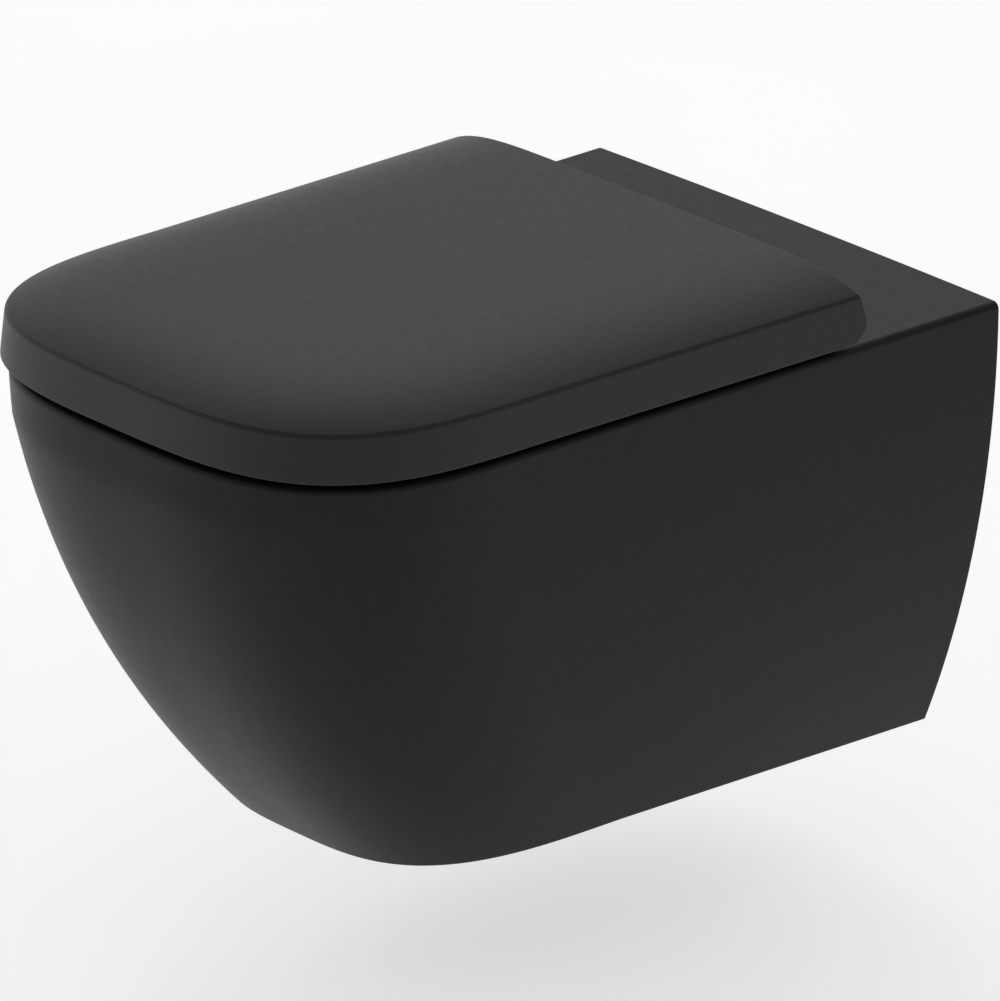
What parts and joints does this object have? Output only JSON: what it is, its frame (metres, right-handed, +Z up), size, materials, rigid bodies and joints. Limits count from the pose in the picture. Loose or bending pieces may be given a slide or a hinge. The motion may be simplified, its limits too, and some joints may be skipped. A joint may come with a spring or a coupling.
{
  "type": "wall-hung toilet",
  "caption": "Wall-hung toilet: ceramic pan with horizontal waste outlet and concealed wall fixings, under a wrap-over soft-close seat and cover on lift-off hinges.",
  "frame": {"origin": "on the wall face of the pan, midway between the two wall fixings", "axes": "+Y out of the pan's back into the wall, +Z up, +X to the right as seen from in front"},
  "size_m": [0.3722, 0.5412, 0.3379],
  "materials": {
    "ceramic": "matte glaze",
    "duroplast": "matte",
    "rubber": "matte",
    "steel": "brushed",
    "brass": "machined",
    "nylon": "moulded",
    "hinge_plastic": "moulded"
  },
  "bodies": {
    "pan": {"pan_body": "ceramic", "inlet_seal": "rubber", "outlet_seal": "rubber", "fixing_sleeve_left": "nylon", "fixing_sleeve_right": "nylon", "anchor_bush_left": "steel", "anchor_bush_right": "steel", "clamp_screw_left": "steel", "clamp_screw_right": "steel", "clamp_insert_left": "brass", "clamp_insert_right": "brass", "hinge_gasket_left": "rubber", "hinge_gasket_right": "rubber", "hinge_post_left": "steel", "hinge_post_right": "steel", "hinge_dowel_left": "rubber", "hinge_dowel_right": "rubber", "dowel_nut_left": "brass", "dowel_nut_right": "brass"},
    "hinge_set": {"hinge_block_left": "hinge_plastic", "hinge_block_right": "hinge_plastic", "seat_damper": "steel", "cover_damper": "steel", "seat_pin": "steel", "cover_pin": "steel", "release_spring_left": "steel", "release_spring_right": "steel"},
    "button_left": {"release_button_left": "nylon"},
    "button_right": {"release_button_right": "nylon"},
    "seat": {"seat_ring": "duroplast", "seat_buffer_front_left": "rubber", "seat_buffer_front_right": "rubber", "seat_buffer_rear_left": "rubber", "seat_buffer_rear_right": "rubber"},
    "lid": {"cover": "duroplast", "cover_buffer_left": "rubber", "cover_buffer_right": "rubber"}
  },
  "joints": [
    {"name": "lift_off", "type": "slide", "parent": "pan", "child": "hinge_set", "axis": [0, 0, 1], "range_m": [0, 0.04]},
    {"name": "seat_hinge", "type": "hinge", "parent": "hinge_set", "child": "seat", "pos_m": [0, -0.1255, 0.0988], "axis": [-1, 0, 0], "range_deg": [0, 98]},
    {"name": "cover_hinge", "type": "hinge", "parent": "seat", "child": "lid", "pos_m": [0, -0.1255, 0.0988], "axis": [1, 0, 0], "range_deg": [-98, 0]},
    {"name": "release_left", "type": "slide", "parent": "hinge_set", "child": "button_left", "axis": [0, 1, 0], "range_m": [0, 0.003], "stiffness_N_per_m": 400, "springref_m": -0.002, "deforming": ["release_spring_left"]},
    {"name": "release_right", "type": "slide", "parent": "hinge_set", "child": "button_right", "axis": [0, 1, 0], "range_m": [0, 0.003], "stiffness_N_per_m": 400, "springref_m": -0.002, "deforming": ["release_spring_right"]}
  ]
}
